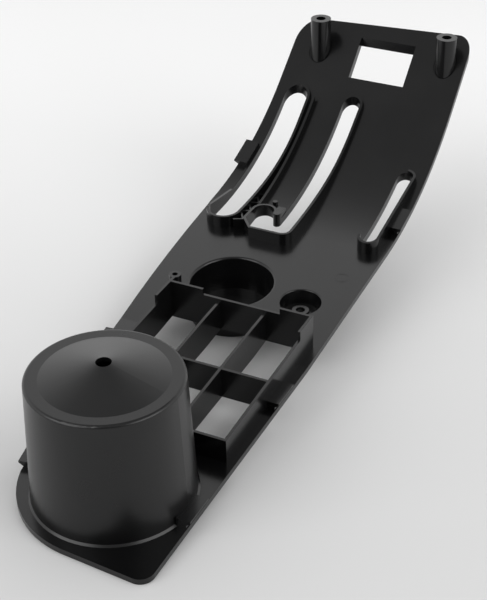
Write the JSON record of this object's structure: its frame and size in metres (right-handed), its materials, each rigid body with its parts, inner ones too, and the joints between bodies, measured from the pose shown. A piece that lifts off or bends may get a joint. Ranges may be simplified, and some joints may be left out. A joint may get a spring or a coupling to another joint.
{
  "type": "side console panel",
  "caption": "Moulded plastic side console panel with an inverted cup holder, switch frame, gated lever slots, screw bosses and snap tabs.",
  "frame": {"origin": "centre of the bounding box in plan, at the level of the lowest pod face", "axes": "+Z along the mould draw, out of the inner side; +Y from the cup end to the raised far end; +X towards the straight long edge"},
  "size_m": [0.1414, 0.4976, 0.1222],
  "materials": {
    "plastic": "black satin moulded surface"
  },
  "bodies": {
    "root": {"console_panel": "plastic"}
  },
  "joints": []
}
